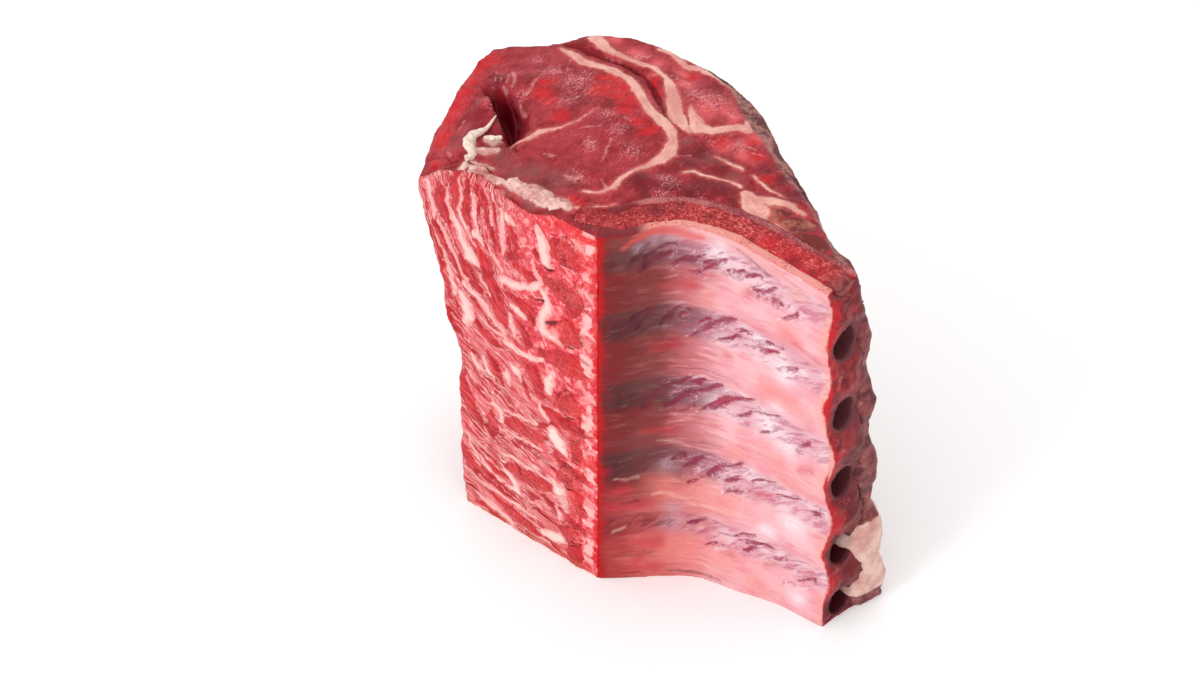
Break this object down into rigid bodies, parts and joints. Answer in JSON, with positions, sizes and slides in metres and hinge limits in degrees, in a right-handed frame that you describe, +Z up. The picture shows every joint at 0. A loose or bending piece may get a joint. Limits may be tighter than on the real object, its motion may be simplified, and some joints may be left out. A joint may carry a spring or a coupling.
{
  "type": "raw bone-in beef rib roast",
  "caption": "Raw bone-in beef rib roast standing on its sawn end: loin eye, side muscles and seam fat run through it, a chine side, a ribbed inner side and sawn rib ends.",
  "frame": {"origin": "on the ground under the middle of the roast's box", "axes": "+Z up from the lower cut to the upper cut, +X right towards the rib tips, +Y back from the rib side to the fat side"},
  "size_m": [0.2738, 0.2322, 0.274],
  "materials": {
    "loin_lean": "wet raw lean beef with fine grain",
    "side_lean": "wet raw lean beef with pink marbling",
    "dark_lean": "wet dark raw beef",
    "rib_membrane": "wet pink membrane over bone and meat",
    "marbled_meat": "wet sawn meat with fat streaks",
    "beef_fat": "satin pinkish cream fat",
    "sawn_bone": "porous red marrow in a sawn face"
  },
  "bodies": {
    "root": {"loin_eye": "loin_lean", "spine_strip_muscle": "loin_lean", "cap_muscle": "side_lean", "upper_side_muscle": "side_lean", "lower_side_muscle": "side_lean", "rib_muscle": "dark_lean", "rib_wall": "rib_membrane", "chine_meat": "marbled_meat", "seam_fat": "beef_fat", "rib_1": "sawn_bone", "rib_2": "sawn_bone", "rib_3": "sawn_bone", "rib_4": "sawn_bone", "rib_5": "sawn_bone", "rib_6": "sawn_bone", "vertebra_1": "sawn_bone", "vertebra_2": "sawn_bone", "vertebra_3": "sawn_bone", "vertebra_4": "sawn_bone", "spinous_process_1": "sawn_bone", "spinous_process_2": "sawn_bone", "spinous_process_3": "sawn_bone"}
  },
  "joints": []
}
